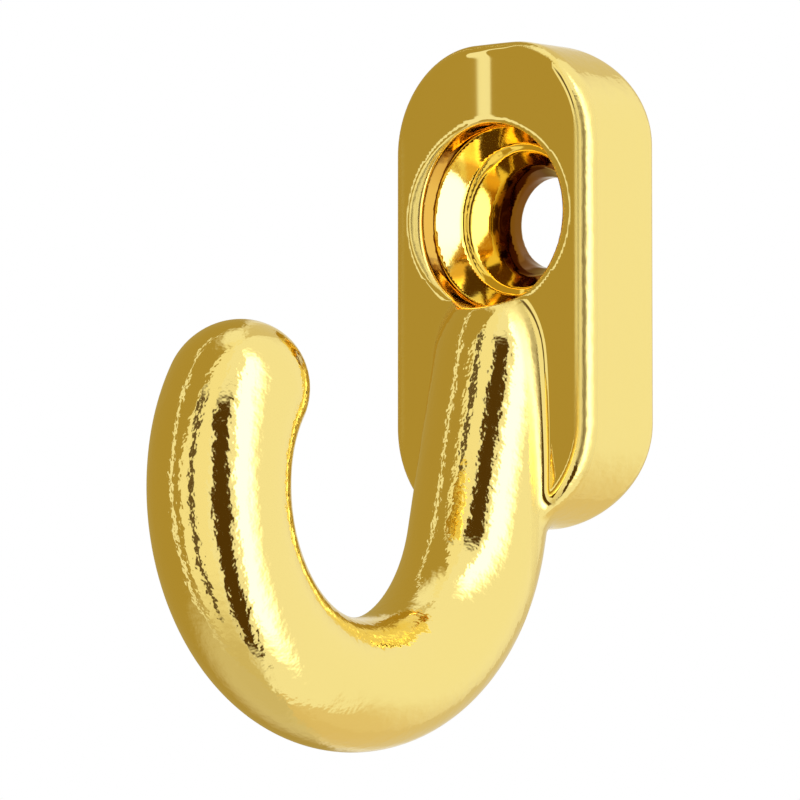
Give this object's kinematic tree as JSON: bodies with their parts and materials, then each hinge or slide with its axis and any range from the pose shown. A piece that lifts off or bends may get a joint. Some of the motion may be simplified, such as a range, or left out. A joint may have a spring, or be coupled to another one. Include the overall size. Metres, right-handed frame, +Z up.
{
  "type": "picture hook",
  "caption": "Small gold-plated screw-on wall hook: rounded upright backplate with a recessed screw hole and a round-section hook that curls back at its rounded free end.",
  "frame": {"origin": "where the screw hole's axis meets the flat back of the plate", "axes": "the back lies on Y = 0, the hook's front faces -Y, +Z is up and +X is to the right seen from the front"},
  "size_m": [0.01, 0.0219, 0.0277],
  "materials": {
    "gold_plating": "die-cast zinc alloy, polished and gold plated, with a fine grain in the plating"
  },
  "bodies": {
    "root": {"hook_body": "gold_plating"}
  },
  "joints": []
}
